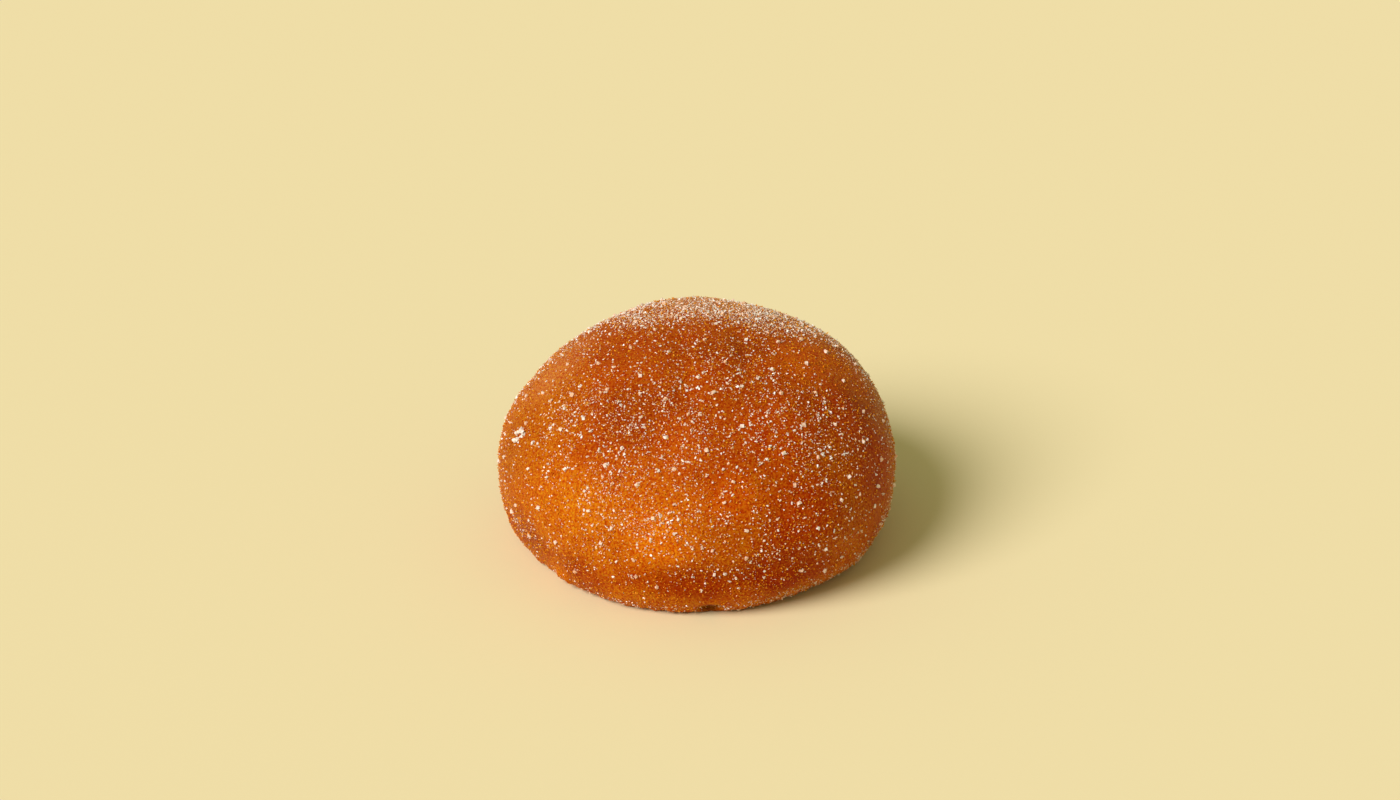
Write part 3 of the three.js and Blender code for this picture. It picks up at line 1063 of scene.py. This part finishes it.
@dataclass(frozen=True)
class SugarCoat:
    """Finer sugar of one kind, scattered over the crust more thickly in some patches than in others."""

    form: DoughForm
    name: str
    finish: SugarCrystal
    seed: int
    sides: Pair
    per_square_mm: float
    patch: float  # size of the thick and thin patches
    patchiness: float  # how much thicker and thinner they are
    bare_below: float
    full_above: float
    dryness: Pair
    damp_bias: float = 1.0  # above 1, more crystals are near the damp end
    shapes: CrystalShapes = CrystalShapes()
    sunk: float = 0.36
    on_the_rim: float = 0.5  # how thickly the sugar lies round the foot's rim, as a share of the crown's
    rim_heights: Pair = (4.0, 2.5)  # where the rim's sugar starts and is full
    plate_heights: Pair = (0.5, 1.0)  # below these the plate kept the sugar off
    thinnest: float = 0.1  # where a drift takes sugar away, the share that always stays
    rarity: float = 1.8  # above 1, large crystals are rarer than small ones
    least_sides: Triple = (0.5, 0.7, 0.9)
    most_sides: Triple = (0.95, 1.15, 1.6)
    dryness_seed: int = 500
    drifts: tuple[Stroke, ...] = (
        Stroke("crest of the crown, behind its top", (20, 69), (150, 65.5), 5.6, 2.0),
        Stroke("shoulder on the right of the crest", (24, 60), (13, 34), 7, 1.1),
        Stroke("dusted back of the crest", (50, 56), (125, 55), 8, 0.7),
        Stroke("bare top of the crown's front slope", (-165, 61), (-8, 58), 9, -0.7),
        Stroke("bare upper left", (178, 34), (166, 56), 8, -0.55),
        Stroke("bare left flank", (-178, 2), (-166, 26), 11, -0.75),
        Stroke("bare lower left", (-158, 3), (-132, 4), 8.5, -0.6),
        Stroke("bare right flank", (-28, -4), (-8, 42), 11, -0.85),
        Stroke("thin limb of the right flank", (-4, -8), (14, 34), 8, -0.6),
        Stroke("thin right of the belt", (-66, 12), (-48, 6), 9, -0.35),
        Stroke("drift on the front left", (-117, 10), (-105, 7), 6, 1.0),
        Stroke("drift on the left of the crown", (-146, 33), (-132, 37), 6, 0.4),
        Stroke("drift in the middle of the crown", (-110, 34), (-92, 36), 7, 0.4),
        Stroke("drift on the right of the crown", (-56, 33), (-50, 28), 6, 0.3),
        Stroke("drift at the back of the crown", (130, 40), (160, 50), 10, 0.5),
    )

    def build(self, crust: Object) -> Object:
        """Builds and dresses the coat.

        Args:
            crust: The crust that it lies on.

        Returns:
            The coat's object.
        """
        values = {
            "Crust": crust,
            "Shortest side": self.sides[0],
            "Longest side": self.sides[1],
            "Grains per square mm": self.per_square_mm,
            "Patch size": self.patch,
            "Patchiness": self.patchiness,
            "Bare below": self.bare_below,
            "Full above": self.full_above,
            "On the rim": self.on_the_rim,
            "Dampest": self.dryness[0],
            "Driest": self.dryness[1],
            "Damp bias": self.damp_bias,
            "Sunk": self.sunk,
            "Seed": self.seed,
            "Sugar": self.finish.material(),
        }
        grow = ShapeTree(self.name, values)
        add, given = grow.add, grow.given
        seed = {"Seed": given["Seed"]}
        where = {"Mesh": grow.crust_mesh(), "Density": self._density(grow), **seed}
        scattered = add("GeometryNodeDistributePointsOnFaces", where)

        # Few crystals are large, and many are small.
        rare = add(MATH, (add(RANDOM, seed, data_type="FLOAT"), self.rarity), "POWER")
        side = add(MAP_RANGE, (rare, 0.0, 1.0, given["Shortest side"], given["Longest side"]))
        uneven = add(RANDOM, {"Min": self.least_sides, "Max": self.most_sides, **seed}, **VECTORS)
        sides = add(VECTOR_MATH, (uneven, side), "SCALE")
        raised = grow.lift_out(scattered.outputs["Normal"], add(SEPARATE, [sides]))
        points = add(SET_POSITION, {"Geometry": scattered, "Offset": raised})
        turn = add(RANDOM, {"Max": (FULL_TURN,) * 3, **seed}, **VECTORS)
        crystals = self.shapes.set_on(grow, points, turn, sides)

        chance = add(RANDOM, {"Seed": self.seed + self.dryness_seed}, data_type="FLOAT")
        biased = add(MATH, (chance, given["Damp bias"]), "POWER")
        dryness = add(MAP_RANGE, (biased, 0.0, 1.0, given["Dampest"], given["Driest"]))
        marks = {"Geometry": crystals, "Name": DRYNESS, "Value": dryness}
        marked = add("GeometryNodeStoreNamedAttribute", marks, data_type="FLOAT", domain="INSTANCE")
        return grow.run(self.name, marked, "Sugar")

    def _density(self, grow: ShapeTree) -> Node:
        """Says how thickly the sugar lies at a place.

        Args:
            grow: The coat's tree.

        Returns:
            The node that gives the grains for each square millimetre.
        """
        add, given = grow.add, grow.given
        height = add(SEPARATE, [add(HERE)]).outputs["Z"]
        kept = add(MAP_RANGE, (height, given["Bare below"], given["Full above"]), **SMOOTH)
        rim = add(MAP_RANGE, (height, *self.rim_heights, 0.0, given["On the rim"]))
        rim = add(MATH, (rim, add(MAP_RANGE, (height, *self.plate_heights))), "MULTIPLY")
        kept = add(MATH, (kept, rim), "MAXIMUM")
        drifted = add(MATH, (self.form.summed_strokes(grow, self.drifts), 1.0), "ADD")
        drifted = add(MATH, (drifted, self.thinnest), "MAXIMUM")
        density = add(MATH, [grow.uneven("Patch size", "Patchiness", detail=3.0, reach=0.2)], "EXPONENT")
        for times in (given["Grains per square mm"], drifted, kept):
            density = add(MATH, (density, times), "MULTIPLY")
        return density


# ---- the room ----


@dataclass(frozen=True)
class Studio:
    """A pale yellow floor under soft light, and the camera."""

    floor_colour: str = "#e0cda7"
    floor_side: float = 8000.0
    key_azimuth: float = 218.0
    key_elevation: float = 40.0
    key_softness: float = 33.0
    key_strength: float = 3.75
    fill_strength: float = 0.46
    fill_colour: str = "#eef6bc"
    camera_elevation: float = 28.0
    camera_distance: float = 705.0
    target_height: float = 22.0
    target_below_centre: float = 37.3  # in pixels of the picture
    picture_width: int = 1400
    lens: float = 85.0
    sensor: float = 36.0

    def build(self) -> None:
        """Builds the floor, the lights and the camera."""
        self._floor()
        self._lights()
        self._camera()

    def _floor(self) -> None:
        """Lays the floor, which belongs to the room."""
        half = self.floor_side * MM / 2
        mesh = bpy.data.meshes.new("floor")
        corners = [(-half, -half, 0), (half, -half, 0), (half, half, 0), (-half, half, 0)]
        mesh.from_pydata(corners, [], [(0, 1, 2, 3)])
        floor = bpy.data.objects.new("floor", mesh)
        bpy.context.scene.collection.objects.link(floor)
        paper = bpy.data.materials.new("matt_paper_backdrop")
        paper.use_nodes = True
        surface = paper.node_tree.nodes["Principled BSDF"]
        surface.inputs["Base Color"].default_value = linear(self.floor_colour)
        surface.inputs["Roughness"].default_value = 1.0
        surface.inputs["Specular IOR Level"].default_value = 0.0
        mesh.materials.append(paper)

    def _lights(self) -> None:
        """Sets the key light, which is large and far away, and the fill from all round."""
        key = bpy.data.lights.new("key", "SUN")
        key.energy = self.key_strength
        key.angle = math.radians(self.key_softness)
        lamp = bpy.data.objects.new("key", key)
        azimuth, elevation = math.radians(self.key_azimuth), math.radians(self.key_elevation)
        level = math.cos(elevation)
        towards = Vector((math.cos(azimuth) * level, math.sin(azimuth) * level, math.sin(elevation)))
        lamp.location = towards
        lamp.rotation_euler = towards.to_track_quat("Z", "Y").to_euler()
        bpy.context.scene.collection.objects.link(lamp)
        world = bpy.data.worlds.new("studio")
        world.use_nodes = True
        sky = world.node_tree.nodes["Background"]
        sky.inputs["Color"].default_value = linear(self.fill_colour)
        sky.inputs["Strength"].default_value = self.fill_strength
        bpy.context.scene.world = world
        bpy.context.scene.view_settings.view_transform = "Standard"

    def _camera(self) -> None:
        """Sets the camera, which looks down at the doughnut's front."""
        lens = bpy.data.cameras.new("camera")
        lens.lens = self.lens
        lens.sensor_width = self.sensor
        lens.sensor_fit = "HORIZONTAL"
        camera = bpy.data.objects.new("camera", lens)
        elevation = math.radians(self.camera_elevation)
        camera.location = (
            0.0,
            -self.camera_distance * math.cos(elevation) * MM,
            (self.target_height + self.camera_distance * math.sin(elevation)) * MM,
        )
        focal_pixels = self.lens / self.sensor * self.picture_width
        tilt = elevation - math.atan(self.target_below_centre / focal_pixels)
        camera.rotation_euler = (math.pi / 2 - tilt, 0.0, 0.0)
        bpy.context.scene.collection.objects.link(camera)
        bpy.context.scene.camera = camera


def sugar_coats(form: DoughForm, coarse: SugarCrystal) -> tuple[SugarCoat, ...]:
    """Lists the coats of finer sugar, in the order in which they are laid.

    Args:
        form: The dough that they lie on.
        coarse: The finish of the coarse crystals, which the clusters share.

    Returns:
        The coats.
    """
    granulated = SugarCrystal("granulated_sugar", "#f0e8ea", "#e0943c")
    fine = SugarCrystal("fine_sugar", "#f4ebea", "#de8a1e", damp_patch=7.0)
    soaked = SugarCrystal(
        "fat_soaked_sugar", "#df9320", "#bc5c05", roughness=(0.1, 0.35), damp_patch=5.0,
        gloss=0.3, gloss_tint="#ffa040", glow=(0.3, 0.25, 0.15),
    )
    splinters = CrystalShapes(detail=1)
    return (
        SugarCoat(
            form, "sugar_grains", granulated, seed=31, sides=(0.2, 0.38), per_square_mm=0.3,
            patch=5.0, patchiness=0.9, bare_below=1.0, full_above=26.0, dryness=(0.3, 1.2),
        ),
        SugarCoat(
            form, "sugar_fine", fine, seed=32, sides=(0.17, 0.35), per_square_mm=1.6,
            patch=7.0, patchiness=0.8, bare_below=0.6, full_above=27.0, dryness=(0.0, 1.25),
            damp_bias=1.3, shapes=splinters,
        ),
        SugarCoat(
            form, "sugar_soaked", soaked, seed=33, sides=(0.2, 0.42), per_square_mm=2.0,
            patch=7.0, patchiness=0.3, bare_below=0.6, full_above=5.0, dryness=(0.0, 1.0),
            damp_bias=1.3, shapes=splinters, sunk=0.5,
            drifts=(
                Stroke("crest of the crown, behind its top", (20, 69), (150, 65.5), 6.5, 0.4),
                Stroke("bare right flank", (-26, -4), (-6, 34), 11, -0.6),
            ),
        ),
        SugarCoat(
            form, "sugar_clusters", coarse, seed=34, sides=(0.2, 0.42), per_square_mm=0.035,
            patch=5.0, patchiness=1.2, bare_below=1.0, full_above=20.0, dryness=(0.6, 1.2),
            shapes=CrystalShapes(cluster=7),
        ),
        SugarCoat(
            form, "sugar_rim", granulated, seed=35, sides=(0.18, 0.4), per_square_mm=0.03,
            patch=3.0, patchiness=0.5, bare_below=0.3, full_above=1.2, dryness=(0.1, 1.0),
            damp_bias=1.2, shapes=splinters, on_the_rim=0.0,
            drifts=(
                Stroke("crusted rim at the lower right", (-62, -25), (-33, -20), 1.9, 80),
                Stroke("crusted limb of the right flank", (-33, -19), (-18, -8), 2.2, 45),
                Stroke("crusted tuck of the left flank", (-163, -15), (-153, -21), 1.2, 45),
                Stroke("row at the front left of the foot", (-118, -26.5), (-98, -27), 0.9, 50),
                Stroke("row right of the fold gap", (-82, -27), (-62, -25), 1.2, 65),
                Stroke("crusted rim at the back left", (118, -25), (146, -20), 1.8, 60),
                Stroke("row at the back of the foot", (36, -27), (84, -26.5), 0.9, 45),
            ),
        ),
    )


def main() -> None:
    """Builds the doughnut and the room, and reports each piece."""
    logging.basicConfig(level=logging.INFO, format="%(message)s")
    form = DoughForm()
    coarse = SugarCrystal("coarse_sugar", "#ece2e0", "#d98a34")
    crust = Crust(form).build()
    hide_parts("doughnut")
    hand_over(crust)
    hand_over(CoarseSugar(form, coarse).build(crust))
    for coat in sugar_coats(form, coarse):
        hand_over(coat.build(crust))
    Studio().build()


if __name__ == "__main__":
    main()
